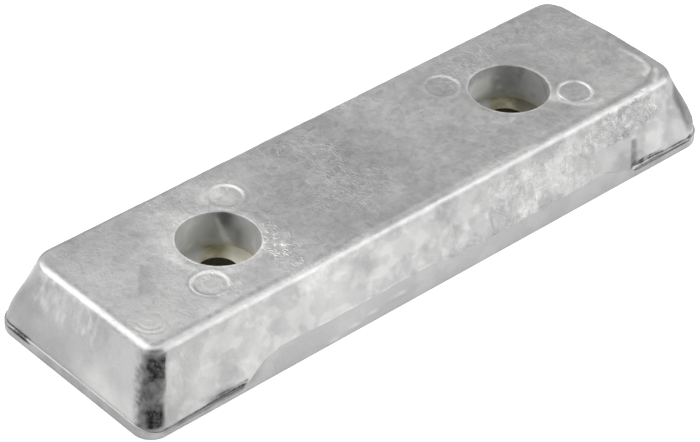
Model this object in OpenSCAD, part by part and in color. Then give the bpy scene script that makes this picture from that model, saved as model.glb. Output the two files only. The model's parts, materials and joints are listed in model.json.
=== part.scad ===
// Cast aluminium anode bar with two counterbored bolt holes.
// A flat steel strap is cast into it and shows as the floor of each counterbore.
// The origin is the centre of the base, +X runs along the bar and +Z is up.

/* [Bar] */
// Length of the bar at its base
bar_l = 271; // [240:1:400]
// Width of the bar at its base
bar_w = 83.5; // [76:0.5:140]
// Height of the bar
bar_h = 29.5; // [24:0.5:50]
// Draft of the two end faces, in degrees from upright
end_draft = 18.7; // [8:0.1:20]
// Draft of the two long faces, in degrees from upright
side_draft = 17.5; // [8:0.1:20]
// Radius of the four upright corners
corner_r = 8.5; // [5:0.5:12]
// Rounding of the edge around the top face
edge_r = 3.2; // [1:0.1:4]

/* [Parting lip] */
// How far the lip at the base stands proud of the drafted faces at its top
lip_out = 0.4; // [0.2:0.1:2]
// Height of the lip
lip_h = 3.8; // [1:0.1:5]

/* [Trimmed gate] */
// Distance from the -X end of the base to the start of the trimmed gate
gate_start = 45.5; // [20:0.5:60]
// Distance from the +X end of the base to the end of the trimmed gate
gate_end = 41.5; // [20:0.5:60]
// Height of the trimmed gate at its high end, towards -X
gate_high = 9.8; // [6:0.1:14]
// Height of the trimmed gate at its low end, towards +X
gate_low = 7.6; // [6:0.1:14]
// Length of the sloping end towards -X
gate_ramp_start = 14.5; // [4:0.5:30]
// Length of the sloping end towards +X
gate_ramp_end = 10.5; // [4:0.5:30]

/* [Bolt holes] */
// Distance between the centres of the two holes
hole_spacing = 140; // [90:1:160]
// Diameter of the counterbores in the top face
counterbore_d = 30; // [24:0.5:34]
// Depth from the top face down to the steel strap
counterbore_depth = 14.5; // [8:0.5:16]
// Bevel around the mouth of each counterbore
rim_bevel = 0.6; // [0.2:0.1:1.5]
// Diameter of the bolt holes in the strap
bolt_d = 15; // [9:0.5:20]
// Diameter of the holes in the aluminium under the strap
foot_hole_d = 20; // [20:0.5:28]

/* [Steel strap] */
// Width of the strap
strap_w = 40; // [36:0.5:50]
// Thickness of the strap
strap_t = 5; // [3:0.5:7]
// How far the strap runs past each hole centre
strap_past = 25; // [20:0.5:30]

/* [Ejector marks] */
// Diameter of the shallow mark that each ejector pin left in the top face
pin_mark_d = 13.6; // [8:0.1:16]
// Depth of the marks
pin_mark_depth = 0.3; // [0.1:0.1:0.6]
// Distance of a mark from the nearest hole centre, along the bar
pin_mark_dx = 17.6; // [16:0.1:24]
// Distance of a mark from the nearest hole centre, across the bar
pin_mark_dy = 16.9; // [15:0.1:20]

/* [Hidden] */
$fn = 96;
// Sides of the rounded shapes that are joined into the drafted block
hull_sides = 32;
// Thickness of the discs that the drafted block starts from
disc_t = 0.01;
// Steps in the rounding of the top edge
edge_steps = 8;
// How far a cut reaches past the face that it opens
past = 1;

// Half length and half width of the drafted faces where they meet the lip's top
foot_x = bar_l / 2 - lip_out;
foot_y = bar_w / 2 - lip_out;
// Centre of the edge rounding, in from where the drafted face meets the top
edge_in_x = edge_r * tan(45 - end_draft / 2);
edge_in_y = edge_r * tan(45 - side_draft / 2);
// Half length and half width of the flat top face
flat_x = foot_x - (bar_h - lip_h) * tan(end_draft) - edge_in_x;
flat_y = foot_y - (bar_h - lip_h) * tan(side_draft) - edge_in_y;
// Corner radius of the flat top face
flat_corner_r = corner_r - edge_r;
// Heights of the strap's two faces
strap_top = bar_h - counterbore_depth;
strap_bottom = strap_top - strap_t;
strap_l = hole_spacing + 2 * strap_past;

// Repeats its child at both hole centres.
module at_holes() {
    for (side = [-1, 1]) translate([side * hole_spacing / 2, 0, 0]) children();
}

// Repeats its child at the four corner centres of a 2 half_x by 2 half_y outline.
module at_corners(half_x, half_y, r) {
    for (sx = [-1, 1], sy = [-1, 1]) translate([sx * (half_x - r), sy * (half_y - r), 0]) children();
}

// Disc with its upper rim rounded by edge_r, which the block's top corners follow.
module rounded_cap() {
    arc = [for (i = [0 : edge_steps]) 90 * i / edge_steps];
    rotate_extrude($fn = hull_sides)
        polygon(concat(
            [[0, bar_h - edge_r]],
            [for (a = arc) [flat_corner_r + edge_r * cos(a), bar_h - edge_r + edge_r * sin(a)]],
            [[0, bar_h]]
        ));
}

// Block on the lip, with drafted faces, rounded corners and a rounded top edge.
module drafted_block() {
    hull() {
        translate([0, 0, lip_h - disc_t])
            at_corners(foot_x, foot_y, corner_r)
            cylinder(h = disc_t, r = corner_r, $fn = hull_sides);
        at_corners(flat_x, flat_y, flat_corner_r) rounded_cap();
    }
}

// Plate with round corners that makes the parting lip.
module parting_lip() {
    r = corner_r + lip_out;
    translate([-bar_l / 2, r - bar_w / 2, 0]) cube([bar_l, bar_w - 2 * r, lip_h]);
    translate([r - bar_l / 2, -bar_w / 2, 0]) cube([bar_l - 2 * r, bar_w, lip_h]);
    at_corners(bar_l / 2, bar_w / 2, r) cylinder(h = lip_h, r = r);
}

// What was trimmed off with the gate: all that stood in front of a plane that rises from the
// base's edge and meets the drafted face at gate_high. The lip ends where the trimmed land starts.
module gate_trim() {
    meets = lip_out + (gate_high - lip_h) * tan(side_draft);
    intersection() {
        rotate([90, 0, 90])
            linear_extrude(bar_l, center = true)
            polygon([
                [-bar_w / 2, 0],
                [meets - bar_w / 2, gate_high],
                [-bar_w / 2 - past, gate_high],
                [-bar_w / 2 - past, 0]
            ]);
        rotate([90, 0, 0])
            linear_extrude(bar_w)
            polygon([
                [gate_start - bar_l / 2, 0],
                [gate_start - bar_l / 2, lip_h],
                [gate_start + gate_ramp_start - bar_l / 2, gate_high],
                [bar_l / 2 - gate_end - gate_ramp_end, gate_low],
                [bar_l / 2 - gate_end, lip_h],
                [bar_l / 2 - gate_end, 0]
            ]);
    }
}

// Counterbore from the top face to the strap, with its bevelled mouth.
module counterbore() {
    translate([0, 0, strap_top]) cylinder(h = counterbore_depth + past, d = counterbore_d);
    translate([0, 0, bar_h - rim_bevel])
        cylinder(h = rim_bevel, d1 = counterbore_d, d2 = counterbore_d + 2 * rim_bevel);
}

// The two ejector marks beside each hole; those of the two ends mirror each other.
module ejector_marks() {
    for (side = [-1, 1], turn = [-1, 1])
        translate([
            side * hole_spacing / 2 + turn * pin_mark_dx,
            -side * turn * pin_mark_dy,
            bar_h - pin_mark_depth
        ])
        cylinder(h = pin_mark_depth + past, d = pin_mark_d);
}

// The flat bar that the strap is cut from, and the room for it in the casting.
module strap_blank() {
    translate([-strap_l / 2, -strap_w / 2, strap_bottom]) cube([strap_l, strap_w, strap_t]);
}

module anode_body() {
    color([0.72, 0.72, 0.73])
        difference() {
            union() {
                drafted_block();
                parting_lip();
            }
            gate_trim();
            strap_blank();
            at_holes() counterbore();
            at_holes() translate([0, 0, -past]) cylinder(h = strap_bottom + past, d = foot_hole_d);
            ejector_marks();
        }
}

module insert_strap() {
    color([0.56, 0.54, 0.40])
        difference() {
            strap_blank();
            at_holes()
                translate([0, 0, strap_bottom - past]) cylinder(h = strap_t + 2 * past, d = bolt_d);
        }
}

anode_body();
insert_strap();
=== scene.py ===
"""Cast aluminium anode bar with a steel strap cast into it.

The casting is one closed surface worked out with numpy. A warped grid makes the top face, the
grid's outline is carried down a profile to the base, and the rims of the two holes are carried down
their walls. A relief along the normals then gives the cast skin its flow marks. All sizes are in
millimetres, and one factor turns them to metres. The holes' places and sizes come from the frame.
"""

import json
import math
from functools import partial

import bpy
import numpy as np
from mathutils import Matrix, Vector
from mathutils.geometry import delaunay_2d_cdt


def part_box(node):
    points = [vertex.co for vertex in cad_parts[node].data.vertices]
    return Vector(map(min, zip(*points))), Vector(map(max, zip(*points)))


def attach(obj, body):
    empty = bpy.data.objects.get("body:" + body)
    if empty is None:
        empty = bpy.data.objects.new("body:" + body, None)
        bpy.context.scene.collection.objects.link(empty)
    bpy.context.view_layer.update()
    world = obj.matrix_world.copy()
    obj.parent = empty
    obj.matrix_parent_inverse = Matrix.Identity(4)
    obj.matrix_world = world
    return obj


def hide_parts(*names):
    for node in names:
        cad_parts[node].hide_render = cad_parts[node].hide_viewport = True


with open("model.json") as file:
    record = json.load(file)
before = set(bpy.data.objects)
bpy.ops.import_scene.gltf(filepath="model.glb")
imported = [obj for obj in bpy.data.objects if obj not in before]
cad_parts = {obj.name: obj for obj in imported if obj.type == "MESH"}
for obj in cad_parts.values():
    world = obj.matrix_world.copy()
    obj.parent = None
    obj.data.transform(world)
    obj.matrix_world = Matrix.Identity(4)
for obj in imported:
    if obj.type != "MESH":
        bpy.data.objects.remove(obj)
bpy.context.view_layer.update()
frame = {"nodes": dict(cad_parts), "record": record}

MM = 0.001

# --- Sizes of the casting that its box and its mounts don't give ---
END_DRAFT, SIDE_DRAFT = math.radians(18.7), math.radians(17.5)
EDGE_R = 3.2  # rounding around the top face
LIP_OUT, LIP_HIGH = 0.4, 3.8  # how far the parting lip stands out, and its height
CREST_R = 0.24  # rounding of the lip's crest
SKIN_IN = 0.06  # how far the finished skin stays inside the base's outline
RIM_ROUND = 0.6  # rounding of the counterbores' mouths
WALL_STOP = 2.2  # how far above the lip's top the plain drafted wall ends
BEVEL = 0.3  # height of the small bevel at the base
UNDER_STRAP = 0.8  # how far a counterbore's wall runs on past the strap's upper face
# Radius of the four upright corners under the top edge and at the lip, as [-X, +X] by [-Y, +Y]
TOP_CORNERS = np.array([[6.6, 9.4], [10.8, 8.8]])
FOOT_CORNERS = np.array([[7.2, 8.4], [9.8, 8.4]])
# The trimmed gate's torn upper edge on the -Y face: distance along the bar and height
GATE_EDGE = [(-92, 3.6), (-84, 7.5), (-76, 9.8), (-53, 9.0), (-5, 9.3), (8, 7.5), (78, 7.6),
             (83, 8.2), (96, 3.8)]
# The four ejector marks in the top face: x, y and radius
PIN_MARKS = [(-87.8, -16.9, 6.5), (-52.4, 16.9, 6.6), (52.2, 17.0, 6.6), (88.0, -16.3, 6.3)]
# Lower and upper border of the cold flow high on the -Y face: distance along the bar and height
FLOW_LOW = [(68, 17.5), (76, 18), (92, 16.7), (107, 18.8), (116, 20.5)]
FLOW_HIGH = [(68, 20), (75, 25.5), (84, 27.5), (103, 28.5), (109, 26.4), (115, 22)]
# Cold folds at the far front corner of the top: x and y along two ridges and the groove between them
FOLD_RIDGES = [[(120.5, -8), (121.4, -15), (121.2, -20), (119.6, -23.6), (115.8, -25.2)],
               [(121.5, -25.6), (118.9, -28.6), (115.5, -30.5)]]
FOLD_GROOVE = [(122.6, -19), (122.1, -23), (117.8, -26.4), (112.8, -28.9)]
# The rough, frosted splash on the top beside the near hole: x, y and the two radii of an oval
SPLASH = (-56.5, -17, 6, 9)
# Soft ovals of paler or, with a minus, darker oxide: strength, place and the two radii.
# Those of the top lie in x and y, those of the front face in x and z.
TOP_OVALS = [(0.18, -80, 24, 9, 9), (0.16, -56, 21, 9, 7), (0.12, -86, 8, 6, 9), (0.16, -43, 22, 13, 11),
             (0.16, -78.5, -14.5, 2.4, 2.4), (0.55, 79.5, -14.8, 3, 1.8), (0.12, -4, -16, 17, 13),
             (0.10, 105, -3, 9, 13), (0.08, 31, 20, 10, 8), (0.07, 20, 22, 26, 8),
             (-0.12, 40, -24, 12, 8), (-0.18, 68, -21, 11, 5), (-0.08, -64, -21, 9, 5),
             (-0.06, -96, 22, 14, 10), (-0.16, -79, 28, 12, 6)]
FRONT_OVALS = [(0.08, -49, 18, 8, 8), (0.24, 28, 21, 18, 9), (0.18, 55, 11, 17, 5),
               (0.10, 70, 24, 14, 6), (0.12, 10, 12, 8, 5), (-0.14, 94.5, 18.5, 3.5, 2)]
# Soft lines of the same kinds on the top: strength, half width and the points that they run through
SWEPT_LINE = [(78.1, -14.3), (79.7, -18.2), (82.3, -22.8), (85.3, -25.3), (91, -26.5)]
TOP_LINES = [(0.34, 1.0, SWEPT_LINE),
             (0.22, 0.7, [(50.9, -10.8), (53, -14.2), (55.4, -15), (58.4, -14.3)]),
             (0.16, 2.0, [(87, -28), (95, -26.6), (105, -26), (116, -23.4)]),
             (-0.10, 0.8, [(86, -30.6), (99, -30.8), (112, -29.4)])]
CELL = 0.70  # spacing of the casting's grid
BLOCK = 22.0  # half the side of the square of cells that is warped around each hole
# Rows of points down the rounded edge, the wall, the lip's face, a counterbore and the hole under it
EDGE_ROWS, WALL_ROWS, FACE_ROWS, BORE_ROWS, FOOT_ROWS = 9, 36, 8, 20, 10

MOUNTS = {mount["name"]: mount for mount in frame["record"]["mounts"]}
HOLE_X = MOUNTS["counterbore_far"]["pos_m"][0] / MM
BORE_R, BOLT_R, FOOT_R = (MOUNTS[name + "_far"]["dims"]["r_mm"]
                          for name in ("counterbore", "strap_hole", "foot_hole"))
BODY_LO, BODY_HI = (np.array(v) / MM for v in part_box("anode_body"))
STRAP_LO, STRAP_HI = (np.array(v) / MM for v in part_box("insert_strap"))
LENGTH, WIDTH, HIGH = BODY_HI - BODY_LO


def flat_half(size, draft):
    """Half size of the flat top: in from the base by the lip, the draft and the edge's rounding."""
    rise = (HIGH - LIP_HIGH) * math.tan(draft)
    return size / 2 - LIP_OUT - rise - EDGE_R * math.tan(math.pi / 4 - draft / 2)


FLAT_X, FLAT_Y = flat_half(LENGTH, END_DRAFT), flat_half(WIDTH, SIDE_DRAFT)
CORNER = FLAT_Y - BLOCK  # side of the corner blocks of the top grid
ARM_X, ARM_Y = FLAT_X - CORNER, FLAT_Y - CORNER  # where they begin


# --- Small mathematics ---
def smooth(edge0, edge1, x):
    """0 at edge0, 1 at edge1 and a smooth cubic step between them; the edges may be in any order."""
    t = np.clip((np.asarray(x, float) - edge0) / (edge1 - edge0), 0, 1)
    return t * t * (3 - 2 * t)


def bump(x, centre, half):
    """A smooth hump of height 1 at the centre that is 0 beyond half to either side."""
    return 1 - smooth(0, half, np.abs(np.asarray(x, float) - centre))


def between(x, start, end, soft):
    """1 from start to end, with a smooth fall over the width soft outside both."""
    return smooth(start - soft, start, x) * smooth(end + soft, end, x)


def stacked(*parts):
    """Arrays or numbers that fit together as one array, each as one place along its last axis."""
    return np.stack(np.broadcast_arrays(*parts), axis=-1)


def noise(points, cell, seed):
    """Smooth noise from -1 to 1: random values on a cubic lattice, blended by a quintic curve.

    cell is the lattice spacing in millimetres, or one spacing for each axis. Three large primes
    scatter the lattice points over a table of random values.
    """
    size, primes, shift = 4096, np.array([73856093, 19349663, 83492791]), 997.5
    table = np.random.default_rng(seed).uniform(-1, 1, size)
    p = np.asarray(points, float) / np.asarray(cell, float) + shift
    base = np.floor(p).astype(np.int64)
    f = p - base
    w = f * f * f * (f * (f * 6 - 15) + 10)
    total = np.zeros(p.shape[:-1])
    for corner in range(8):
        step = np.array([corner & 1, corner >> 1 & 1, corner >> 2 & 1])
        key = (base + step) * primes
        value = table[(key[..., 0] ^ key[..., 1] ^ key[..., 2]) & size - 1]
        total += value * np.prod(np.where(step, w, 1 - w), axis=-1)
    return total


def bend(points, cell, seed):
    """Three noises as one vector for each point."""
    return stacked(*(noise(points, cell, seed + k) for k in range(3)))


def layered(points, cell, seed, layers=3):
    """Noise with finer and weaker noise on top of it; each layer has half the cell and the height."""
    parts = [noise(points, np.asarray(cell, float) / 2**k, seed + k) / 2**k for k in range(layers)]
    return sum(parts) / (2 - 0.5 ** (layers - 1))


def squiggles(points, cell, seed, width):
    """Thin winding lines from 0 to 1, where a bent noise crosses zero."""
    bent = points + 0.9 * cell * bend(points, cell * 1.7, seed + 50)
    return smooth(width, 0, np.abs(layered(bent, cell, seed, 2)))


def line_distance(x, y, line):
    """Distance to a bent line through the points given: the least of those to its straight parts."""
    best = np.full(np.shape(x), np.inf)
    for (ax, ay), (bx, by) in zip(line[:-1], line[1:]):
        dx, dy = bx - ax, by - ay
        t = np.clip(((x - ax) * dx + (y - ay) * dy) / (dx * dx + dy * dy), 0, 1)
        best = np.minimum(best, np.hypot(x - ax - t * dx, y - ay - t * dy))
    return best


def oval(x, y, cx, cy, rx, ry):
    """A soft oval of height 1: e to the minus square of the distance in radii."""
    return np.exp(-((x - cx) / rx) ** 2 - ((y - cy) / ry) ** 2)


def ovals(x, y, table):
    """The sum of a table's soft ovals, each times its strength."""
    return sum(strength * oval(x, y, *place) for strength, *place in table)


def stroke(x, y, line, half):
    """A soft bent line of height 1: e to the minus square of the distance in half widths."""
    return np.exp(-(line_distance(x, y, line) / half) ** 2)


def patches(points, cell, seed, edge):
    """Patches with scalloped edges, from -0.5 to 0.5: noise bent by other noise, cut at its middle."""
    bent = points + 0.35 * cell * bend(points, cell * 0.6, seed + 20)
    return smooth(-edge, edge, layered(bent, cell, seed)) - 0.5


# --- Surfaces ---
class Shell:
    """Points and faces of a closed surface, gathered from grids that share their border points."""

    def __init__(self):
        self.blocks, self.faces, self.count = [], [], 0

    def add(self, xyz):
        """Adds an array of points and returns their numbers in the same layout."""
        xyz = np.asarray(xyz, float)
        shape = xyz.shape[:-1]
        numbers = np.arange(self.count, self.count + int(np.prod(shape))).reshape(shape)
        self.blocks.append(xyz.reshape(-1, 3))
        self.count += numbers.size
        return numbers

    def quads(self, numbers, keep=None, flip=False):
        """Quads between neighbouring rows and columns of a grid of point numbers."""
        q = stacked(numbers[:-1, :-1], numbers[1:, :-1], numbers[1:, 1:], numbers[:-1, 1:])
        q = q.reshape(-1, 4) if keep is None else q[keep]
        self.faces.append(q[:, ::-1] if flip else q)

    def tube(self, rows, flip=False):
        """Quads between closed rows of point numbers: each row's last point joins its first."""
        self.quads(np.concatenate([rows, rows[:, :1]], axis=1), flip=flip)

    def points(self):
        """All points, in the order of their numbers."""
        return np.concatenate(self.blocks)


class Spots:
    """Where grid points lie on a rectangle with round corners, whatever its size and its radii.

    cx and cy run from -1 to 1 along its straight sides, and sx and sy are the signs of the nearest
    corner. t runs from 0 to 1 round the outer border of a corner's square block, from the X side to
    the Y side, and depth is the share of the way there from the block's inner corner.
    """

    def __init__(self, gx, gy):
        p, q = np.abs(gx) - ARM_X, np.abs(gy) - ARM_Y
        self.in_block = (p > 0) & (q > 0)
        self.p, self.q = np.maximum(p, 0), np.maximum(q, 0)
        c = np.maximum(self.p, self.q)
        safe = 2 * np.maximum(c, 1e-9)
        self.depth = c / CORNER
        self.t = np.where(self.p >= self.q, self.q / safe, 1 - self.p / safe)
        self.sx, self.sy = np.where(gx < 0, -1, 1), np.where(gy < 0, -1, 1)
        self.cx = np.clip(gx / ARM_X, -1, 1)
        self.cy = np.clip(gy / ARM_Y, -1, 1)

    def radii(self, table):
        """Each point's corner radius from a table of four."""
        return table[(self.sx > 0).astype(int), (self.sy > 0).astype(int)]

    def on_outline(self, half_x, half_y, block, r):
        """x, y and the normal's angle from the X side, on a rectangle with corners of radius r.

        A corner block's border is a straight, a quarter arc and a straight, and t is the share of
        their whole length.
        """
        straight, arc = block - r, r * np.pi / 2
        s = self.t * (2 * straight + arc)
        turn = np.clip((s - straight) / r, 0, np.pi / 2)
        up, back = np.minimum(s, straight), np.maximum(s - straight - arc, 0)
        x = self.cx * (half_x - block) + self.sx * (straight - back + r * np.cos(turn))
        y = self.cy * (half_y - block) + self.sy * (up + r * np.sin(turn))
        return x, y, turn


def square_angle(u, v):
    """Angle of a point on a square ring, spread evenly: a side of the square takes a quarter turn."""
    wide = np.abs(u) >= np.abs(v)
    safe_u, safe_v = np.where(u == 0, 1, u), np.where(v == 0, 1, v)
    on_x = np.where(u >= 0, 0, np.pi) + np.pi / 4 * v / safe_u
    on_y = np.where(v >= 0, np.pi / 2, -np.pi / 2) - np.pi / 4 * u / safe_v
    return np.where(wide, on_x, on_y)


def ring_warp(x, y, cx, inner, radius):
    """Bends a square block of a grid so that its inner square becomes a circle.

    A point between the two squares keeps its share of the way, now from the circle to the outer
    square, along the ray of its own square angle.
    """
    u, v = x - cx, y
    c = np.maximum(np.abs(u), np.abs(v))
    inside = c < BLOCK - 1e-9
    t = np.clip((c - inner) / (BLOCK - inner), 0, 1)
    angle = square_angle(u, v)
    safe = np.where(c > 0, c, 1)
    new_x = (1 - t) * radius * np.cos(angle) + t * BLOCK * u / safe
    new_y = (1 - t) * radius * np.sin(angle) + t * BLOCK * v / safe
    return np.where(inside, cx + new_x, x), np.where(inside, new_y, y)


def corner_warp(gx, gy):
    """Bends the four corner blocks of the top grid to their own radii, more so towards the outline."""
    spots = Spots(gx, gy)
    rim_x, rim_y, _ = spots.on_outline(FLAT_X, FLAT_Y, CORNER, spots.radii(TOP_CORNERS) - EDGE_R)
    w = spots.depth ** 2
    new_p = (1 - w) * spots.p + w * spots.depth * (np.abs(rim_x) - ARM_X)
    new_q = (1 - w) * spots.q + w * spots.depth * (np.abs(rim_y) - ARM_Y)
    warped_x = spots.sx * (ARM_X + new_p)
    warped_y = spots.sy * (ARM_Y + new_q)
    return np.where(spots.in_block, warped_x, gx), np.where(spots.in_block, warped_y, gy)


def grid_lines(stops):
    """Positions along one axis: each stretch between two stops is cut evenly near the cell size."""
    parts = [stops[:1]]
    for a, b in zip(stops[:-1], stops[1:]):
        parts.append(np.linspace(a, b, max(int(round((b - a) / CELL)), 1) + 1)[1:])
    return np.concatenate(parts)


def box_loop(i0, i1, j0, j1):
    """Grid indices once round a rectangle of grid points, counterclockwise."""
    i, j = np.arange(i0, i1), np.arange(j0, j1)
    sides = (i, j0), (i1, j), (i[::-1] + 1, j1), (i0, j[::-1] + 1)
    return tuple(np.concatenate([stacked(*side) for side in sides]).T)


def top_sheet(hole_r):
    """The flat top with round corners and two round holes, as one warped rectangular grid.

    Returns x and y, which cells to keep, the outline's spots, and the index loops round the outline
    and the two holes.
    """
    cells = int(round(BLOCK / CELL))
    inner = BLOCK * int(round(cells * min(hole_r * np.pi / 4 / BLOCK, 0.8))) / cells
    xs = grid_lines([-FLAT_X, -ARM_X, -HOLE_X - BLOCK, -HOLE_X, BLOCK - HOLE_X, HOLE_X - BLOCK, HOLE_X,
                     HOLE_X + BLOCK, ARM_X, FLAT_X])
    ys = grid_lines([-FLAT_Y, -BLOCK, 0, BLOCK, FLAT_Y])
    gx, gy = np.meshgrid(xs, ys, indexing="ij")
    cx, cy = np.meshgrid((xs[1:] + xs[:-1]) / 2, (ys[1:] + ys[:-1]) / 2, indexing="ij")
    keep = np.ones(cx.shape, bool)
    loops = [box_loop(0, len(xs) - 1, 0, len(ys) - 1)]
    x, y = corner_warp(gx, gy)
    for side in (-1, 1):
        centre = side * HOLE_X
        keep &= np.maximum(np.abs(cx - centre), np.abs(cy)) > inner
        x, y = ring_warp(x, y, centre, inner, hole_r)
        i0, i1 = (np.abs(xs - centre - s * inner).argmin() for s in (-1, 1))
        j0, j1 = (np.abs(ys - s * inner).argmin() for s in (-1, 1))
        loops.append(box_loop(i0, i1, j0, j1))
    return x, y, keep, Spots(gx[loops[0]], gy[loops[0]]), loops


def vertex_normals(points, quads):
    """Normal at each point: the sum of the area normals of the quads that meet there."""
    a, b, c, d = (points[quads[:, k]] for k in range(4))
    across = np.cross(c - a, d - b)
    total = np.zeros_like(points)
    for k in range(4):
        np.add.at(total, quads[:, k], across)
    length = np.linalg.norm(total, axis=1, keepdims=True)
    return total / np.where(length > 0, length, 1)


# --- The casting ---
def wall_inset(z, draft):
    """How far a drafted face lies inside the base's outline at height z."""
    return LIP_OUT + (z - LIP_HIGH) * math.tan(draft)


def lip_height(spots, x, turn):
    """Height of the lip's top: its own on each face, blended round the corners."""
    end = np.where(spots.sx < 0, 4.2, 3.8)
    side = np.where(spots.sy < 0, 3.0 + smooth(88, 98, x), 3.7)
    return end * np.cos(turn) ** 2 + side * np.sin(turn) ** 2


def lip_shade(line, x, y, front, near, rise):
    """Painted shade along the lip, from 0 to 1: a broken dark line in the corner over it, darker
    stretches, and blotches on the near end.
    """
    broken = smooth(-0.75, 0.1, layered(line, 3.0, 16))
    fine = smooth(-0.5, 0.4, layered(line + stacked(0, 0, 3 * rise), 2.4, 17))
    corner = between(x, -127, -89, 3) + between(x, 102, 126, 4)
    heavy = between(x, -106, -91, 5) + between(x, 98, 110, 3)
    dark_paint = corner * broken * bump(rise, 0.25, 0.5)
    dark_paint += (0.55 + 0.45 * (x > 0)) * heavy * fine * bump(rise, 1.2, 1.5)
    dark_paint += 0.9 * front * bump(x, 127.2, 1.6) * bump(rise, 0.5, 1.0)
    lower = (0.4 + 0.5 * broken) * between(x, 95.5, 126, 1.5) + 0.45 * (x < 0) * broken * corner
    dark_paint = front * (dark_paint + lower * bump(rise, -0.85, 0.55))
    blotch = smooth(-0.1, 0.2, noise(line, 4.5, 18)) * between(y, 23, 37, 2)
    torn = between(y, 24.3, 30.2, 0.8) * smooth(-0.55, -0.1, noise(line, 2.4, 21)) * bump(rise, -0.5, 1.3)
    return dark_paint + near * (blotch * (bump(rise, 0.35, 0.5) + bump(rise, -0.9, 0.8)) + torn)


def lip_faults(line, x, y, front, near):
    """Depth of the hollow over the lip and of the crevice under its crest.

    Both are deeper towards both ends of the front face, the crevice also at the back of the -X end.
    """
    uneven = 0.65 + 0.35 * layered(line, 3.0, 14)
    start_hollow = smooth(-121, -97, x) * smooth(-89, -93, x)
    hollow = 0.10 + front * (0.55 * start_hollow + 0.5 * between(x, 98, 110, 4))
    start_gap = 0.35 * between(x, -122, -90, 3) + 0.6 * between(x, -101, -91, 3)
    end_gap = 0.45 * between(x, 97, 124, 2) + 0.6 * between(x, 98, 110, 2)
    corner_gap = 0.9 * between(y, 23, 37, 2) * smooth(-0.5, 0.1, noise(line, 4.0, 18))
    return hollow, uneven * (0.05 + front * (start_gap + end_gap) + near * corner_gap)


def skin_rows(spots):
    """Rows of points down the outside of the casting, and four masks for each of them.

    The top's outline is carried along a profile: a quarter round, the drafted wall, and a step, the
    parting lip, over whose quarter round the wall is hollowed and under which its halves leave a
    crevice. Along the gate the step is only a burr, over a flat land that leans out to the base.
    The masks are the painted shade by the lip, the trimmed land, the lip's face, and its crest less the
    burr, for a painted dark line on the crest and a painted highlight on the burr.
    """
    top_r, foot_r = spots.radii(TOP_CORNERS), spots.radii(FOOT_CORNERS)
    x, y, turn = spots.on_outline(LENGTH / 2, WIDTH / 2, CORNER + EDGE_R, foot_r)
    line = stacked(x, y, 0)
    front, near = (spots.sy < 0) * np.sin(turn) ** 4, (spots.sx < 0) * np.cos(turn) ** 4
    gate_x, gate_z = np.array(GATE_EDGE).T
    on_gate = front * between(x, gate_x[0], gate_x[-1], 2.5)
    lip_top = lip_height(spots, x, turn) + 0.12 * layered(line, 14.0, 12)
    torn_edge = np.interp(x, gate_x, gate_z) + 0.5 * layered(line, 6.5, 11)
    step = lip_top + (torn_edge - lip_top) * on_gate
    hollow, gap = lip_faults(line, x, y, front, near)

    # The rounded edge. Each point's height, insets in x and y, corner radius, block and rise over the step
    turns = np.radians(np.linspace(90, 18, EDGE_ROWS))[1:, None]
    out, z = EDGE_R * np.cos(turns), HIGH - EDGE_R + EDGE_R * np.sin(turns)
    rows = [stacked(z, LENGTH / 2 - FLAT_X - out, WIDTH / 2 - FLAT_Y - out, top_r - EDGE_R + out,
                    CORNER + out, 0)]

    # The drafted wall, down to a little over the step
    z_top, wall_r, block = z[-1], top_r - EDGE_R + out[-1], CORNER + out[-1]
    z = z_top + (step + WALL_STOP - z_top) * np.linspace(0, 1, WALL_ROWS)[1:, None]
    r = wall_r + (foot_r - wall_r) * (z_top - z) / (z_top - LIP_HIGH)
    rows.append(stacked(z, wall_inset(z, END_DRAFT), wall_inset(z, SIDE_DRAFT), r, block, z - step))

    # The step and its face: close rows over the crest, then even ones
    above = np.array([1.6, 1.1, 0.75, 0.45, 0.2, 0.0, -0.06, -0.14, -0.26, -0.45, -0.65, -0.9, -1.2])
    z_face = step + above[-1] + (BEVEL - step - above[-1]) * np.linspace(0, 1, FACE_ROWS)[1:, None]
    z = np.concatenate([step + above[:, None], z_face])
    rise = z - step
    rounding = 1 - np.sqrt(1 - np.clip(1 + rise / CREST_R, 0, 1) ** 2)
    insets = []
    for draft in (END_DRAFT, SIDE_DRAFT):
        foot = wall_inset(z, draft) + hollow * bump(rise, 0.6, 1.9)
        shelf = wall_inset(step, draft) + hollow * bump(0.0, 0.6, 1.9)
        under = SKIN_IN + (shelf - SKIN_IN) * rounding + gap * bump(rise, -0.65, 0.4)
        insets.append(np.where(rise > 0, foot, under))
    land = SKIN_IN + wall_inset(step, SIDE_DRAFT) * z / step
    trimmed = np.where(rise > 0, wall_inset(z, SIDE_DRAFT), land) - 0.09 * bump(rise, 0.05, 0.32)
    insets[1] = insets[1] + (trimmed - insets[1]) * on_gate
    r = foot_r + LIP_OUT - np.minimum(insets[0], LIP_OUT)
    rows.append(stacked(z, *insets, r, block, rise))

    # The small bevel at the base: two rows that turn in
    z, low_in = np.array([[0.1], [0.0]]), SKIN_IN + np.array([[0.06], [0.25]])
    rows.append(stacked(z, low_in, low_in, foot_r + LIP_OUT - low_in, block, z - step))

    z, inset_x, inset_y, r, block, rise = np.moveaxis(np.concatenate(rows), -1, 0)
    x, y, _ = spots.on_outline(LENGTH / 2 - inset_x, WIDTH / 2 - inset_y, block, r)
    below = smooth(0.1, -0.2, rise)
    # Painted shade by the lip, left off the gate.
    crevice = (1 - on_gate) * lip_shade(line, x, y, front, near, rise)
    ragged = smooth(-0.5, 0, layered(line, 5.0, 19))
    burr = on_gate * bump(rise, 0.25, 0.55) * between(x, -58, 0, 6) * ragged
    # The crest gets a painted dark line, and the burr a painted highlight.
    crest = (1 - on_gate) * bump(rise, -0.08, 0.24) * (front * (x < 0) + 0.2 * near) - burr
    masks = stacked(crevice, on_gate * below, (1 - on_gate) * below, crest)
    masks[:len(turns)] = 0
    return stacked(x, y, z), masks


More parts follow.
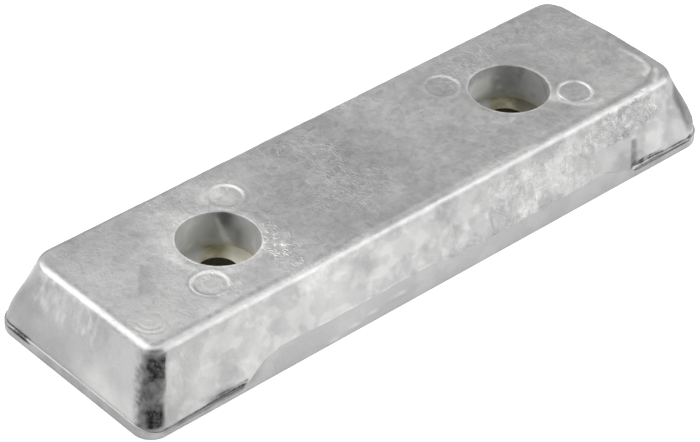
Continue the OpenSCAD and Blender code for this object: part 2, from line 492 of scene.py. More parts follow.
def hole_rows(loop):
    """Rows of points down a counterbore and the hole under the strap, from the mouth's loop.

    The wall runs on past the strap's upper face into the strap's thickness, so that no gap shows.
    """
    turns = np.linspace(0, np.pi / 2, 5)[1:]
    mouth = [(BORE_R + RIM_ROUND * (1 - math.sin(t)), HIGH - RIM_ROUND * (1 - math.cos(t)))
             for t in turns]
    z_strap, mid_strap = STRAP_HI[2], (STRAP_HI[2] + STRAP_LO[2]) / 2
    bore = [(BORE_R, z) for z in np.linspace(HIGH - RIM_ROUND, z_strap, BORE_ROWS)[1:]]
    hidden = [(BORE_R, z_strap - UNDER_STRAP), (FOOT_R, mid_strap)]
    foot = [(FOOT_R, z) for z in np.linspace(mid_strap, 0, FOOT_ROWS)[1:]]
    r, z = np.array(mouth + bore + hidden + foot).T[:, :, None]
    centre = loop[:, :2].mean(axis=0)
    way = loop[:, :2] - centre
    way /= np.linalg.norm(way, axis=1, keepdims=True)
    return stacked(centre[0] + r * way[:, 0], centre[1] + r * way[:, 1], z)


class Skin:
    """The cast skin over the smooth mould shape: flow marks, folds, oxide, and painted light and shade at
    their places.

    relief() is a height along the normals in millimetres. The brightness is how much paler than clean
    metal the oxide makes the surface, with painted highlights and painted shade in it. The dark, from 0 to
    1, is painted shade and a painted dark reflection.
    """

    def __init__(self, points, normals, masks):
        self.p, (self.x, self.y, self.z) = points, points.T
        x, y, z = points.T
        self.nx, self.ny, self.nz = nx, ny, nz = normals.T
        self.crevice, self.land, self.lip, self.crest = masks.T
        # Where each part of the surface is, from 0 to 1, and distances from the holes' centres
        self.hole = hole = np.hypot(np.abs(x) - HOLE_X, y)
        self.bore = smooth(BORE_R + 0.55, BORE_R + 0.1, hole)
        open_side = 1 - self.bore
        self.top = smooth(0.80, 0.97, nz) * open_side
        self.front, self.back = (smooth(0.6, 0.9, s * ny) * open_side for s in (-1, 1))
        self.near, self.far = (smooth(0.6, 0.9, s * nx) * open_side for s in (-1, 1))
        self.wall = open_side * (1 - np.maximum(self.land, self.lip))
        self.turn = np.degrees(np.arctan2(-ny, -nx))  # 0 on the near end, 90 on the front face
        # Distance from the rim of the nearest ejector mark, negative inside it
        self.mark = np.min([np.hypot(x - mx, y - my) - r for mx, my, r in PIN_MARKS], axis=0)
        # Noises from broad to fine, and patches, each by the size of its marks
        self.cloud = layered(points, 15.0, 41)
        self.mottle = layered(points, 4.5, 45)
        self.speckle = layered(points, 1.7, 83, 2)
        self.drift = layered(points, [30.0, 14.0, 12.0], 47)
        self.patch = patches(points, 13.0, 91, 0.11)
        self.scallop = patches(points, 6.0, 95, 0.10)
        # Where flow marks are: cold flow, flecks, the frosted splash, streaks, folds, groove, edge
        self.worms = self.worm_field()
        self.flecks = self.top * smooth(-0.35, 0.45, layered(points, [26.0, 14.0, 14.0], 55, 2))
        self.flecks *= 0.4 + 0.6 * smooth(-92, -76, x)
        self.frosted = self.top * oval(x, y, *SPLASH) * smooth(0.3, 1.2, hole - BORE_R)
        self.streaks = self.near * between(y, -5, 25, 3) * between(z, 19.5, 28, 4)
        run = smooth(0.0, 0.6, layered(points, [1.7, 1.7, 16.0], 61, 2))
        self.streaks *= 0.8 * run + 0.35 * squiggles(points * [1, 1, 0.3], 3.0, 62, 0.35) - 0.15
        self.fold = sum(stroke(x, y, line, 0.85) for line in FOLD_RIDGES)
        self.fold -= 0.4 * stroke(x, y, FOLD_GROOVE, 0.55)
        self.fold *= smooth(HIGH - 4, HIGH - 1, z) * (0.8 + 0.4 * self.mottle)
        self.off_groove = x - 96.7 - 0.2 * (z - 5.8)
        self.edge = open_side * smooth(0.985, 0.93, nz) * smooth(0.33, 0.5, nz)

    def worm_field(self):
        """Where the front face shows cold flow: strong near the far end, weaker in its middle."""
        x, z = self.x, self.z
        low, high = (np.interp(x, *np.array(line).T) for line in (FLOW_LOW, FLOW_HIGH))
        inside = smooth(low - 1.5, low + 0.5, z) * smooth(high + 1.5, high - 0.5, z)
        strong = between(x, 70, 114, 2) * inside
        weak = 0.45 * between(x, 28, 76, 6) * between(z, 10, 24, 5)
        return self.front * np.maximum(strong, weak) * smooth(-0.9, -0.45, layered(self.p, 8.0, 65, 2))

    def near_ripples(self):
        """Rings round the near top corner: a cosine of the distance, under a soft window."""
        x, y = self.x, self.y
        middle, apart = 5.4, 2.1
        d = np.hypot(x + 116, y + 19.5)
        window = bump(d, middle, 4.0) * smooth(-112, -116, x) * smooth(-17, -20, y)
        return window * np.cos(2 * np.pi * (d - middle) / apart)

    def flow_front(self):
        """Edge of a flow patch on the top near the -X end: a soft step on a slant that fades again."""
        cos, sin = 0.772, 0.636  # of the slant, 39.5 degrees
        x, y = self.x + 100, self.y - 6
        across, along = cos * x - sin * y + 0.6 * self.mottle, -sin * x - cos * y
        return self.top * smooth(-0.5, 0.5, across) * smooth(9, 1, across) * between(along, 1, 14, 3)

    def relief(self):
        """Heights: slow waves, a fine roll, and each flow mark with its own depth."""
        p, x, y, z = self.p, self.x, self.y, self.z
        height = 0.08 * layered(p, 24.0, 31) + 0.06 * layered(p, 9.0, 35, 2) + 0.04 * self.mottle
        height += 2 * np.abs(self.nx * self.ny) * smooth(LIP_HIGH, 9, z) * (
            1.5 * (x > 0) * (y < 0) * smooth(25, 12, z) + 0.8 * (x < 0) * (y > 0) * smooth(21, 10, z))
        disc = smooth(0.3, -0.4, self.mark)
        lifted = 0.10 * bump(self.mark, 0.2, 1.1) - 0.06 * bump(self.mark, -1.2, 0.9)
        rim = bump(self.hole, BORE_R + 2.4, 3.0) * (0.7 + 0.3 * (x < 0))
        height += self.top * (0.12 * rim - 0.20 * disc + lifted)
        height += 0.12 * self.near_ripples() * self.top - 0.06 * self.flow_front()
        height += self.worms * 0.26 * squiggles(p, 4.2, 67, 0.3)
        height += 0.06 * self.streaks + 0.22 * self.fold
        height += self.edge * (0.05 * layered(p, 2.4, 69, 2) - 0.25 * (y < 0) * bump(x, 108.3, 1.3))
        height += 0.12 * self.top * oval(x, y, -56, -14, 6, 9) * layered(p, 2.4, 73, 2)
        height -= 0.5 * self.front * bump(self.off_groove, 0, 2.4) * between(z, 4, 14, 1.5)
        height *= self.wall
        height -= 0.02 * (1 + layered(p, 5.0, 75)) * self.land
        height += self.bore * 0.05 * layered(p, 6.0, 77)
        return height - 0.2 * self.top * smooth(0.5, 1.5, HIGH + 1.5 - z)

    def clouds(self, cloud, mottle, patch=0, scallop=0):
        """The sum of clouds, mottling, patches and small scalloped patches, each by its share."""
        return cloud * self.cloud + mottle * self.mottle + patch * self.patch + scallop * self.scallop

    def oxide_and_light(self):
        """Brightness of the oxide and of painted light and shade: each face's own tone, then painted shade
        on corners, painted highlights on edges, rims and the folds' ridges, and the base.
        """
        tone = self.top * self.top_tone() + self.front * self.front_tone() + self.near * self.near_tone()
        tone += (self.back + self.far) * self.clouds(0.14, 0.08, 0.12)
        tone += self.corner_shade() + self.edge_highlights() + 0.65 * self.fold
        return tone * self.wall + self.base_tone() + self.bore * self.bore_tone()

    def top_tone(self):
        """Broad drifts along the top, its ovals and lines, bands by its rims, and mottling."""
        x, y, mottle = self.x, self.y, self.mottle
        tone = 0.17 * smooth(0, 25, x) + 0.22 * smooth(-18, -86, x) + 0.05 * smooth(95, 122, x) - 0.07
        tone += 0.08 * smooth(-8, -20, y) * smooth(20, 100, np.abs(x))
        tone -= 0.15 * smooth(2, 22, y) * smooth(-84, -100, x)
        tone += ovals(x, y, TOP_OVALS)
        tone += sum(strength * stroke(x, y, line, half) for strength, half, line in TOP_LINES)
        veins = squiggles(self.p, 3.4, 85, 0.35) - 0.3
        scuffed = 0.16 + 0.18 * veins + 0.25 * self.speckle + 0.2 * mottle
        tone += oval(x, y, *SPLASH) * scuffed
        inside = smooth(0.4, 2, line_distance(x, y, SWEPT_LINE)) * (x + y < 60)
        tone -= 0.20 * oval(x, y, 78.5, -22, 4, 4) * inside
        # Round the holes and by the ejector marks
        tone += (0.12 - 0.14 * (x > 0)) * bump(self.hole, BORE_R + 1.2, 3.0) * (0.7 + 0.6 * mottle)
        behind = smooth(-66, -76, x) * smooth(-10, 2, y)
        tone += 0.16 * bump(self.hole, BORE_R + 4, 4) * behind * (0.8 + mottle)
        tone -= 0.18 * oval(x, y, -87, -15, 6, 5) * smooth(0, 1.5, self.mark)
        tone += self.inner_rings() + 0.14 * self.near_ripples() - 0.20 * self.flow_front()
        # Along the top's outline: a painted highlight that widens the front edge's own, a band of painted
        # shade inside the front edge, and a speckled dark band by the near corner
        tone += 0.24 * bump(y, 0.4 - FLAT_Y, 1.6) * between(x, -34, 50, 10)
        tone -= 0.12 * bump(y, 1.2 - FLAT_Y, 1.8) * (1 - 1.6 * between(x, -22, 45, 12))
        rim_line = bump(np.minimum(FLAT_X - np.abs(x), FLAT_Y - np.abs(y)), 0.8, 1.4)
        rim_line *= smooth(-60, -84, x) * smooth(30, 18, y)
        tone -= 0.20 * rim_line * (0.8 + 1.1 * self.speckle)
        tone += self.clouds(0.06, 0.04, 0.06, 0.05) + 0.06 * self.drift
        return tone + self.flecks * (0.02 + 0.12 * squiggles(self.p, 5.5, 57, 0.12))

    def front_tone(self):
        """Broad drifts along the front face, its ovals, clouds, brushed grain, and the cold flow."""
        x, z = self.x, self.z
        # The face's level paints how light falls on the front face, and its fall at the far corner paints
        # shade.
        tone = 0.27 - 0.25 * smooth(-30, 30, x) + 0.16 * smooth(85, 110, x) - 0.08 * smooth(116, 128, x)
        tone += 0.14 * smooth(-100, -112, x) - 0.07 * between(x, -98, -66, 8)
        tone -= 0.10 * between(x, -34, 4, 8) + 0.14 * between(x, 106, 118, 4) * smooth(12, 18, z)
        # Painted shade over the hollow above the lip near the -X end.
        tone -= 0.34 * between(x, -117, -100, 5) * smooth(7.5, 5, z)
        tone += ovals(x, z, FRONT_OVALS) + self.clouds(0.10, 0.09, 0.14, 0.13)
        veined = smooth(-0.2, 0.3, layered(self.p, 20.0, 107, 2))
        tone += 0.10 * (squiggles(self.p, 5.0, 103, 0.3) - 0.3) * veined
        brushed = smooth(-0.1, 0.5, layered(self.p, [1.6, 1.6, 9.0], 111, 2)) - 0.4
        tone += 0.16 * brushed * between(x, 8, 46, 9) * smooth(23, 17, z)
        thin, wide = (squiggles(self.p, 4.2, 67, width) for width in (0.2, 0.6))
        return tone + self.worms * (0.12 + 0.30 * thin - 0.26 * wide)

    def near_tone(self):
        """Paler at the front and low down on the near end, with clouds and the streaks under its edge; the
        end's level paints how light falls on it.
        """
        y, z = self.y, self.z
        tone = 0.14 * smooth(-6, -22, y) - 0.14 * smooth(24, 8, z) * between(y, 8, 24, 14) - 0.04
        tone += 0.18 * smooth(13, 6, z) * smooth(8, -10, y) - 0.12 * smooth(12, 34, y)
        tone += 0.12 * oval(y, z, -14, 10, 8, 4) + 0.28 * self.streaks
        return tone + self.clouds(0.08, 0.04, 0.05)

    def corner_shade(self):
        """Painted shade: darker far and near front corners and the far lip corner, and a dark groove in
        the front face by the far one.
        """
        x, z = self.x, self.z
        round_front = np.maximum(-self.nx * self.ny, 0)
        far_corner = 2 * round_front * (x > 0) * between(z, 7, 28, 2) * smooth(36, 14, z)
        tone = -0.45 * smooth(0.15, 0.5, far_corner + 0.15 * self.mottle)
        tone -= 0.45 * self.front * bump(self.off_groove, 0.2, 2.2) * between(z, 4.6, 13.6, 1.4)
        tone -= 0.35 * smooth(0.7, 0.85, self.nx) * smooth(0.2, 0.35, -self.ny) * smooth(10, 7, z)
        return tone - 0.35 * round_front * (x < 0) * smooth(25, 17, z)

    def edge_highlights(self):
        """Painted highlights: the edge round the top made paler, with dull stretches of painted shade,
        painted grey in the highlight's gap at the near corner, a darker line by the far end, and bright
        rims at the holes' mouths.
        """
        x, y, nz = self.x, self.y, self.nz
        edge_glint = (0.12 + 0.12 * layered(self.p, 3.0, 99, 2)) * (1 - smooth(20, 35, self.turn) * (x < -120))
        dull = 0.22 * smooth(24, 29, y) * smooth(-30, -70, x) + 0.25 * smooth(119, 124, x)
        tone = self.edge * (edge_glint - dull + 0.18 * smooth(-122, -126, x) * between(y, 0, 30, 6))
        corner_edge = (x < -110) * between(self.turn, 20, 74, 12)
        tone += corner_edge * (0.25 * bump(nz, 0.50, 0.14) - 0.10 * self.edge * bump(nz, 0.78, 0.22))
        tone -= 0.16 * self.top * bump(x, 123.6, 2.0) * between(y, -20, -4, 3)
        away = x > HOLE_X - y
        rim = (0.35 + 0.2 * away) * (1 - self.bore) * bump(self.hole, BORE_R + 0.5, 0.6 + 0.3 * away)
        return tone + rim * (0.5 + 1.2 * self.mottle)

    def base_tone(self):
        """The trimmed land with its bright shear line, the lip's face, and the crest's painted dark line,
        which turns to a painted highlight along the burr.
        """
        x, z = self.x, self.z
        land = 0.06 * self.patch - 0.02 + 0.08 * oval(x, z, -42, 3, 12, 9) - 0.05 * smooth(20, 60, x)
        line = 1 + 0.098 * (x + 58) + 0.5 * self.cloud
        sheared = 0.25 * bump(z, line, 0.45) - 0.07 * bump(z, line - 1, 1)
        land += between(x, -57, -12, 4) * sheared - 0.3 * oval(x, z, -90, 5, 4, 2.5)
        lip = self.clouds(0.12, 0.16) - 0.20 + 0.12 * self.front
        crest = 0.55 * np.maximum(self.crest, 0.35 * self.crest) * (0.8 + self.mottle)
        return land * self.land + lip * self.lip - crest

    def inner_rings(self):
        """Paler rings and halo of the two near ejector marks, a dark rim by one, and darker far discs."""
        x, y, mark, mottle = self.x, self.y, self.mark, self.mottle
        near_back, near_front = (x < 0) * (y > 0), (x < 0) * (y < 0)
        wobble = mark + 0.5 * mottle
        ring = 0.16 * bump(wobble, -3.4, 0.9) * near_front + 0.16 * bump(wobble, 2.0, 1.0) * near_back
        ring += 0.22 * oval(x, y, 16 - HOLE_X, 20.5, 3.2, 2.4) * near_back
        ring += 0.12 * smooth(2.9, -2.6, mark) * near_back
        dark = 0.26 * bump(mark, 1.1, 0.9) * near_front * smooth(2, -4, x - PIN_MARKS[0][0])
        disc = 0.08 * smooth(0, -1.1, mark) * (x > 0)
        return ring * (0.8 + 0.8 * mottle) - disc - dark

    def bore_tone(self):
        """Inside the holes: pale chalky oxide, with painted light and painted shade on the walls: a dark
        run down the middle and a light one by it.
        """
        x, z = self.x, self.z
        angle = np.degrees(np.arctan2(self.y, np.where(x < 0, x + HOLE_X, x - HOLE_X)))
        lean = angle + 1.6 * (z - HIGH + 8)
        depth = HIGH - z
        wedge = bump(angle - 52 + 1.45 * (depth - 3), 0, 3 + 0.55 * depth) * smooth(1.5, 4, depth)
        near = 0.15 + 0.12 * smooth(76, 98, angle) + 0.16 * smooth(18, -4, angle)
        near -= 0.65 * bump(angle, 41, 20) * smooth(10, 4, depth)
        near -= 0.30 * bump(angle, 22, 12) * smooth(4, 8, depth)
        near -= 0.10 * bump(angle, 118, 30) + 0.10 * bump(angle, 60, 16)
        near += 0.52 * wedge + 0.16 * bump(lean, 90, 22)
        far = -0.14 * smooth(60, 20, angle) - 0.30 * bump(angle, 44, 34) * smooth(14, 8, depth)
        far += 0.85 * between(angle, 78, 112, 17) * bump(depth, 8, 8)
        far += 0.5 * oval(angle, depth, 61, 5.5, 4, 1) + 0.4 * oval(angle, depth, 57, 10.2, 4, 0.9)
        return np.where(x < 0, near, far) + self.clouds(0.12, 0.12, scallop=0.16)

    def painted_dark(self):
        """Painted dark: painted shade in the crevices under the lip and a mottled painted dark reflection
        on the near upright corner.
        """
        z, speckle = self.z, self.speckle
        beside = self.y + WIDTH / 2 - wall_inset(z, SIDE_DRAFT) - FOOT_CORNERS[0, 0]
        turn = self.turn + 3 * self.mottle
        on_end = np.maximum(self.near, turn > 0)
        strip = smooth(2.2, -0.5, beside + 0.8 * self.mottle) * on_end * (0.45 + 0.9 * speckle)
        core = smooth(22, 44, turn + 12 * speckle) * smooth(89, 80, turn)
        high = smooth(18.5, 20.5, z + self.mottle)
        low = smooth(12.5, 9.5, z + self.mottle)
        dark = 0.50 + 0.6 * high + 0.5 * low + 0.45 * speckle + 0.25 * layered(self.p, 4.0, 81)
        dark_paint = np.maximum(core * dark, strip * smooth(89, 80, turn))
        dark_paint *= smooth(LIP_HIGH, LIP_HIGH + 0.8, z) * smooth(30, 28.6, z)
        dark_paint *= 0.25 + 0.75 * smooth(27.5, 25.0, z)
        dark_paint = self.wall * (self.x < -LENGTH / 4) * np.clip(dark_paint, 0, 1.15)
        return np.clip(0.80 * dark_paint + self.crevice, 0, 1)

    def rings(self):
        """Strength of the thin bright ring round each ejector mark; the far front one is brightest."""
        x, y = self.x, self.y
        first, second = (x - PIN_MARKS[k][0] for k in (0, 1))
        front = np.where(x < 0, 0.50 + 0.2 * smooth(3, -5, first), 1.1) * (y < 0)
        back = np.where(x < 0, 0.15 + 0.3 * smooth(-2, 4, second), 0.32) * (y > 0)
        return self.top * (front + back) * np.clip(0.80 + 1.2 * self.mottle, 0, 1.3)


def slump(points):
    """Sinks the far end's +Y top corner, which came short of the mould: deepest at the corner."""
    x, y, z = points.T
    depth = 1.35 * smooth(110, 125, x) * smooth(-2, 26, y) * smooth(37, 27, y) * smooth(0, HIGH, z) ** 2
    return points - stacked(0, 0, depth)


def flat_base(points, rims):
    """Triangles of the flat base between its outer rim and the rims of the two holes in it."""
    numbers = np.concatenate(rims)
    corners = [Vector(v) for v in points[numbers, :2].tolist()]
    first = np.cumsum([0] + [len(rim) for rim in rims])
    edges = []
    for start, end in zip(first[:-1], first[1:]):
        around = np.arange(start, end)
        edges += stacked(around, np.roll(around, -1)).tolist()
    made = delaunay_2d_cdt(corners, edges, [], 1, 1e-7)
    source = np.array([found[0] for found in made[3]])
    triangles = numbers[source[np.array(made[2])]]
    middle = points[triangles].mean(axis=1)
    in_hole = np.hypot(np.abs(middle[:, 0]) - HOLE_X, middle[:, 1]) < FOOT_R
    return triangles[~in_hole][:, ::-1]


def build_casting():
    """The casting's closed surface: top grid, two holes, outer skin and a flat base."""
    shell = Shell()
    x, y, keep, spots, loops = top_sheet(BORE_R + RIM_ROUND)
    sheet = stacked(x, y, HIGH)
    top = shell.add(sheet)
    shell.quads(top, keep)
    skin, masks = skin_rows(spots)
    skin = shell.add(skin)
    shell.tube(np.concatenate([top[loops[0]][None], skin]))
    rims = [skin[-1]]
    for loop in loops[1:]:
        rows = shell.add(hole_rows(sheet[loop]))
        shell.tube(np.concatenate([top[loop][None], rows]), flip=True)
        rims.append(rows[-1])
    points, quads = shell.points(), np.concatenate(shell.faces)
    all_masks = np.zeros((len(points), masks.shape[-1]))
    all_masks[skin.ravel()] = masks.reshape(-1, masks.shape[-1])
    normals = vertex_normals(points, quads)
    surface = Skin(points, normals, all_masks)
    height = surface.relief()
    height[np.concatenate(rims)] = 0
    finished = slump(points + normals * height[:, None])
    finished = np.clip(finished, BODY_LO, BODY_HI)
    flow = 1.5 * surface.worms + 0.24 * surface.flecks + 0.9 * surface.frosted
    # The brightness mixes oxide with painted highlights and shade. The dark is painted shade and a painted
    # dark reflection.
    values = {"oxide_and_light": surface.oxide_and_light(), "painted_dark": surface.painted_dark(), "ring": surface.rings(),
              "flow": flow, "bore": surface.bore,
              # A painted reflection of the strap's yellow plating low on the holes' walls.
              "strap_reflection": surface.bore * smooth(STRAP_HI[2] + 3.0, STRAP_HI[2], surface.z),
              "trimmed": np.maximum(surface.land, 0.5 * surface.lip)}
    return make_piece("anode_casting", finished, [quads, flat_base(finished, rims)], values)


def make_piece(name, points, faces, values=None):
    """A smooth mesh object from points in millimetres, arrays of faces and values for attributes."""
    used = np.unique(np.concatenate([block.ravel() for block in faces]))
    number = np.full(len(points), -1)
    number[used] = np.arange(len(used))
    mesh = bpy.data.meshes.new(name)
    polygons = [face for block in faces for face in number[block].tolist()]
    mesh.from_pydata((points[used] * MM).tolist(), [], polygons)
    for key, value in (values or {}).items():
        attribute = mesh.attributes.new(key, "FLOAT", "POINT")
        attribute.data.foreach_set("value", value[used].astype(np.float32))
    mesh.shade_smooth()
    piece = bpy.data.objects.new(name, mesh)
    bpy.context.scene.collection.objects.link(piece)
    return piece


# --- Materials ---
def linear(colour):
    """Linear RGBA from an sRGB hex colour such as "#b0b0b2"."""
    parts = [int(colour[i:i + 2], 16) / 255 for i in (1, 3, 5)]
    return [p / 12.92 if p <= 0.04045 else ((p + 0.055) / 1.055) ** 2.4 for p in parts] + [1.0]


def node(tree, kind, **values):
    """Adds a shader node to a tree and returns its outputs.

    A value with the name of one of the node's properties sets that, and any other fills or links
    an input: _ in its name stands for a space, and i with a number is the input of that number.
    """
    made = tree.nodes.new("ShaderNode" + kind)
    for key, value in values.items():
        if hasattr(made, key):
            setattr(made, key, value)
            continue
        by_number = key[0] == "i" and key[1:].isdigit()
        socket = made.inputs[int(key[1:]) if by_number else key.replace("_", " ")]
        if isinstance(value, bpy.types.NodeSocket):
            tree.links.new(value, socket)
        else:
            socket.default_value = value
    return made.outputs


def emptied(owner):
    """Clears the node tree of a material or a world; returns that and node() for its tree."""
    owner.use_nodes = True
    owner.node_tree.nodes.clear()
    return owner, partial(node, owner.node_tree)


def cast_aluminium():
    """Aluminium as it leaves an iron mould, unpolished.

    To the eye it is a soft satin grey that clouds over to nearly white where the oxide is thick, with
    painted highlights on its edges. Under that lies a fine grain. The near corner carries a painted dark
    reflection and the crevices carry painted shade, both nearly black, and an olive tint low in the holes
    paints the strap's reflection.
    """
    material, add = emptied(bpy.data.materials.new("as-cast aluminium"))
    place = add("TexCoord")["Object"]
    oxide_and_light, painted_dark, bore, trimmed, ring, flow, strap_reflection = (
        add("Attribute", attribute_name=name)["Fac"]
        for name in ("oxide_and_light", "painted_dark", "bore", "trimmed", "ring", "flow", "strap_reflection"))

    # Noises by the size of their marks: grain, frosting, dots in the stain, and swirls of cold flow.
    # Real grain is about 0.2 mm and real dots 0.3 mm, too fine to show, so both are drawn coarser.
    grain, frost, dots, swirl = (
        add("TexNoise", Vector=place, Scale=1 / (size * MM), Detail=detail, Roughness=rough,
            Distortion=bent)["Fac"]
        for size, detail, rough, bent in ((0.7, 3.0, 0.6, 0.0), (3.0, 5.0, 0.62, 0.9),
                                          (0.9, 1.0, 0.5, 0.0), (5.0, 1.0, 0.5, 1.4)))

    # Thin bright rings: the burr that each ejector pin left, by distance from the nearest mark.
    parts = add("SeparateXYZ", Vector=place)
    flat = add("CombineXYZ", X=parts["X"], Y=parts["Y"])[0]
    off_ring = 1.0
    for x, y, r in PIN_MARKS:
        apart = add("VectorMath", operation="DISTANCE", i0=flat, i1=[x * MM, y * MM, 0.0])
        off = add("Math", operation="SUBTRACT", i0=apart["Value"], i1=r * MM)
        off = add("Math", operation="ABSOLUTE", i0=off[0])
        off_ring = add("Math", operation="MINIMUM", i0=off[0], i1=off_ring)[0]

    # Wrinkles of cold flow: thin winding lines, where the swirled noise is near its middle value.
    off_middle = add("Math", operation="SUBTRACT", i0=swirl, i1=0.5)
    off_middle = add("Math", operation="ABSOLUTE", i0=off_middle[0])[0]
    lines = []
    for off, near, far, low, where in ((off_ring, 0.15 * MM, 0.95 * MM, 0.0, ring),
                                       (off_middle, 0.0, 0.05, -0.20, flow)):
        line = add("MapRange", interpolation_type="SMOOTHSTEP", Value=off, From_Min=near,
                   From_Max=far, To_Min=1.0, To_Max=low)
        line = add("Math", operation="MULTIPLY", i0=line[0], i1=where)
        lines.append(line[0])
    ring_line, wrinkle = lines
    # The painted shade and painted dark reflection, broken up by dots.
    dotted = add("MapRange", Value=dots, From_Min=0.32, From_Max=0.72, To_Min=1.10, To_Max=0.72)
    dark_paint = add("Math", operation="MULTIPLY", i0=painted_dark, i1=dotted[0])[0]

    # Sums of signals: the share of white oxide and painted light, with the painted dark last and kept from
    # 0 to 1, the roughness, how much the lines stand out, and the share of metal, less where chalk lies in
    # the holes.
    white, rough = 0.37, 0.27
    for signal, gain in ((oxide_and_light, 0.8), (frost, 0.10), (grain, 0.14), (wrinkle, 0.11), (ring_line, 0.30),
                         (dark_paint, -0.80)):
        white = add("Math", operation="MULTIPLY_ADD", use_clamp=signal == dark_paint, i0=signal, i1=gain,
                    i2=white)[0]
    for signal, gain in ((frost, 0.40), (painted_dark, -0.20), (bore, 0.14), (trimmed, -0.05)):
        rough = add("Math", operation="MULTIPLY_ADD", i0=signal, i1=gain, i2=rough)[0]
    raised = add("Math", operation="MULTIPLY_ADD", i0=ring_line, i1=0.7, i2=wrinkle)[0]
    metal = add("Math", operation="MULTIPLY_ADD", i0=bore, i1=-0.75, i2=1.0)[0]

    # Colours over each other: bare metal, white oxide with painted highlights, near black where the
    # painted dark is deep, and an olive tint that paints the strap's reflection.
    deep = add("MapRange", Value=dark_paint, From_Min=0.65, From_Max=1.1, To_Min=0.0, To_Max=0.85)
    # The olive tint paints the strap's reflection low in the holes.
    tint = add("Math", operation="MULTIPLY", i0=strap_reflection, i1=0.6)
    colour = linear("#5e5f60")
    for share, over in ((white, "#d6d6d5"), (deep[0], "#1c1c1b"), (tint[0], "#aaa78c")):
        colour = add("Mix", data_type="RGBA", i0=share, i6=colour, i7=linear(over))[2]

    # Bumps on bumps: grain 0.02 mm deep, frosting 0.12 mm, and the lines 0.20 mm.
    fine = add("Bump", Strength=1.0, Distance=0.02 * MM, Height=grain)[0]
    wavy = add("Bump", Strength=1.0, Distance=0.12 * MM, Height=frost, Normal=fine)[0]
    bumps = add("Bump", Strength=1.0, Distance=0.20 * MM, Height=raised, Normal=wavy)[0]
    shader = add("BsdfPrincipled", Base_Color=colour, Metallic=metal, Roughness=rough, Normal=bumps)
    add("OutputMaterial", Surface=shader[0])
    return material


def zinc_steel():
    """Mild steel, zinc plated and yellow passivated, dulled by the casting heat.

    To the eye it is a matt olive grey with paler, chalky clouds and a few dark specks.
    """
    material, add = emptied(bpy.data.materials.new("yellow-passivated zinc on steel"))
    place = add("TexCoord")["Object"]
    cloud = add("TexNoise", Vector=place, Scale=1 / (5.0 * MM), Detail=4.0, Roughness=0.6)["Fac"]
    # The plating's dark specks are really some 0.3 mm wide, too fine to show, so they are drawn coarser.
    speck = add("TexNoise", Vector=place, Scale=1 / (0.8 * MM), Detail=2.0)["Fac"]
    ramp = add("ValToRGB", Fac=cloud)
    stops = ramp[0].node.color_ramp.elements
    for stop, position, colour in zip(stops, (0.35, 0.68), ("#827e63", "#a9a68e")):
        stop.position, stop.color = position, linear(colour)

    # Across each floor the plating goes from aluminium smeared over it, through olive, to chalky cream.
    parts = add("SeparateXYZ", Vector=place)
    sign = add("Math", operation="SIGN", i0=parts["X"])[0]
    along = add("Math", operation="MULTIPLY_ADD", i0=sign, i1=-HOLE_X * MM, i2=parts["X"])
    across = add("Math", operation="SUBTRACT", i0=parts["Y"], i1=along[0])
    across = add("Math", operation="MULTIPLY_ADD", i0=cloud, i1=4 * MM, i2=across[0])
    cream, smear = (
        add("MapRange", interpolation_type="SMOOTHSTEP", Value=across[0],
            From_Min=start * MM, From_Max=end * MM, To_Min=0.0, To_Max=share)[0]
        for start, end, share in ((2, -5, 0.85), (9, 13, 0.9)))
    chalk = add("Mix", data_type="RGBA", i0=sign, i6=linear("#dcd9cb"), i7=linear("#6a685c"))

    # The wall of each bolt hole is painted nearly black as painted shade in the deep hole, and the dark
    # runs a thin way out round its edge.
    side = add("Math", operation="ABSOLUTE", i0=parts["X"])
    flat = add("CombineXYZ", X=side[0], Y=parts["Y"])
    off = add("VectorMath", operation="DISTANCE", i0=flat[0], i1=[HOLE_X * MM, 0.0, 0.0])
    hole_shade = add("MapRange", Value=off["Value"], From_Min=(BOLT_R + 0.05) * MM,
                From_Max=(BOLT_R + 0.35) * MM, To_Min=0.96, To_Max=0.0)[0]
    dark = add("MapRange", Value=speck, From_Min=0.62, From_Max=0.75, To_Min=0.0, To_Max=0.5)

    colour = ramp["Color"]
    for share, over in ((dark[0], linear("#5a553c")), (cream, chalk[2]),
                        (smear, linear("#acacab")), (hole_shade, linear("#2a2412"))):
        colour = add("Mix", data_type="RGBA", i0=share, i6=colour, i7=over)[2]
    rough = add("MapRange", Value=cloud, From_Min=0.3, From_Max=0.7, To_Min=0.38, To_Max=0.55)
    height = add("Bump", Strength=1.0, Distance=0.02 * MM, Height=speck)
    shader = add("BsdfPrincipled", Base_Color=colour, Metallic=0.5, Roughness=rough[0],
                 Normal=height[0])
    add("OutputMaterial", Surface=shader[0])
    return material


# --- Studio ---
def pale_floor():
    """A plain pale floor, far larger than the bar."""
    half = 40.0 / MM  # 40 m
    corners = half * np.array([[-1, -1, 0], [1, -1, 0], [1, 1, 0], [-1, 1, 0]])
    floor = make_piece("floor", corners, [np.array([[0, 1, 2, 3]])])
    # Uncoated paper: an even white without gloss, a little lit from within as backlit paper is.
    material, add = emptied(bpy.data.materials.new("matt white paper"))
    shader = add("BsdfPrincipled", Base_Color=linear("#fdfdfd"), Roughness=0.9,
                 Emission_Color=linear("#ffffff"), Emission_Strength=0.24)
    add("OutputMaterial", Surface=shader[0])
    floor.data.materials.append(material)


def soft_box(name, way, distance, size, radiance):
    """A square lamp that faces the bar from the direction way, with an even radiance."""
    lamp = bpy.data.lights.new(name, "AREA")
    lamp.shape, lamp.size = "SQUARE", size
    lamp.energy = radiance * math.pi * size * size
    box = bpy.data.objects.new(name, lamp)
    way = Vector(way).normalized()
    box.location = way * distance
    box.rotation_euler = (-way).to_track_quat("-Z", "Y").to_euler()
    bpy.context.scene.collection.objects.link(box)


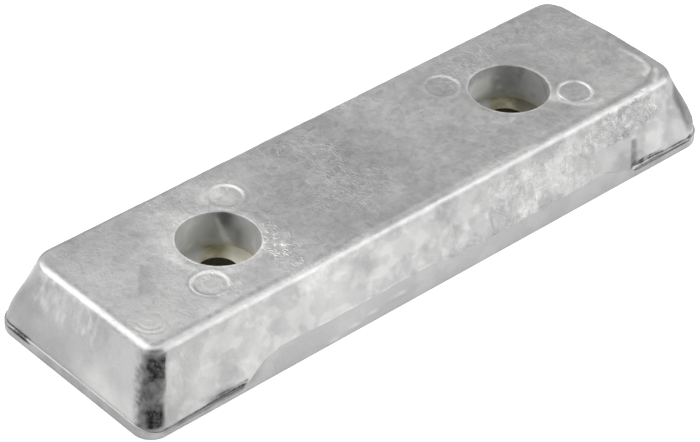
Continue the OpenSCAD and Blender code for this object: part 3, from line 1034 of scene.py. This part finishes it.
def sky():
    """Even studio walls: a grey horizon, brighter above it and greyer overhead; white behind the bar."""
    world, add = emptied(bpy.data.worlds.new("studio"))
    way = add("TexCoord")["Generated"]
    ramp = add("ValToRGB", Fac=add("SeparateXYZ", Vector=way)["Z"])
    stops = ramp[0].node.color_ramp.elements
    stops[0].color, stops[1].color = linear("#8a8a8a"), linear("#b0b0b0")
    for position, colour in ((0.16, "#d4d4d4"), (0.30, "#dcdcdc"), (0.60, "#b8b8b8")):
        stops.new(position).color = linear(colour)
    studio = add("Background", Color=ramp["Color"], Strength=1.0)
    plain = add("Background", Color=linear("#ffffff"), Strength=1.0)
    seen = add("LightPath")["Is Camera Ray"]
    both = add("MixShader", Fac=seen, i1=studio[0], i2=plain[0])
    add("OutputWorld", Surface=both[0])
    bpy.context.scene.world = world


def dark_flag():
    """Grey card beside the near corner that only reflections see: a floor sector and an upright rim."""
    radius = FOOT_CORNERS[0, 0]
    centre = np.array([radius - LENGTH / 2, radius - WIDTH / 2])
    angle = np.radians(np.linspace(162, 300, 40))
    profile = np.array([(radius + 8, 0.3), (60, 0.3), (140, 0.3), (150, 22), (150, 45)])
    r, z = profile.T[:, :, None]
    shell = Shell()
    shell.quads(shell.add(stacked(centre[0] + r * np.cos(angle), centre[1] + r * np.sin(angle), z)))
    flag = make_piece("dark_flag", shell.points(), shell.faces)
    # A panel that glows an even grey, so that in a reflection it is one plain grey.
    material, add = emptied(bpy.data.materials.new("grey card"))
    shader = add("Emission", Color=linear("#7c7c7c"), Strength=1.0)
    add("OutputMaterial", Surface=shader[0])
    flag.data.materials.append(material)
    flag.visible_camera = flag.visible_diffuse = flag.visible_shadow = False
    flag.visible_transmission = flag.visible_volume_scatter = False


def camera():
    """Camera over the near -X, -Y corner: a long lens, rolled a little, aimed at the base's centre."""
    turn, rise, roll = (math.radians(angle) for angle in (45.867, 37.678, 2.7228))
    distance = 4.2205  # in lengths of the bar
    away = Vector((-math.cos(rise) * math.cos(turn), -math.cos(rise) * math.sin(turn), math.sin(rise)))
    lens = bpy.data.cameras.new("camera")
    lens.sensor_width, lens.lens = 36.0, 163.04
    lens.shift_x, lens.shift_y = -0.0222, 0.0076
    lens.clip_start, lens.clip_end = 0.05, 100.0
    shot = bpy.data.objects.new("camera", lens)
    side = (-away).cross(Vector((0, 0, 1))).normalized()
    up = side.cross(-away)
    right = side * math.cos(roll) + up * math.sin(roll)
    top = up * math.cos(roll) - side * math.sin(roll)
    turned = Matrix((right, top, away)).transposed().to_4x4()
    turned.translation = away * distance * LENGTH * MM
    shot.matrix_world = turned
    bpy.context.scene.collection.objects.link(shot)
    bpy.context.scene.camera = shot


casting = build_casting()
casting.data.materials.append(cast_aluminium())
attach(casting, "root")
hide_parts("anode_body")

strap = frame["nodes"]["insert_strap"]
strap.data.materials.clear()
strap.data.materials.append(zinc_steel())

pale_floor()
dark_flag()
sky()
soft_box("left_box", (-0.34, 0.51, 0.86), distance=1.3, size=1.6, radiance=2.4)
soft_box("right_box", (0.551, -0.428, 0.717), distance=1.3, size=1.45, radiance=2.1)
camera()
bpy.context.scene.view_settings.view_transform = "Standard"
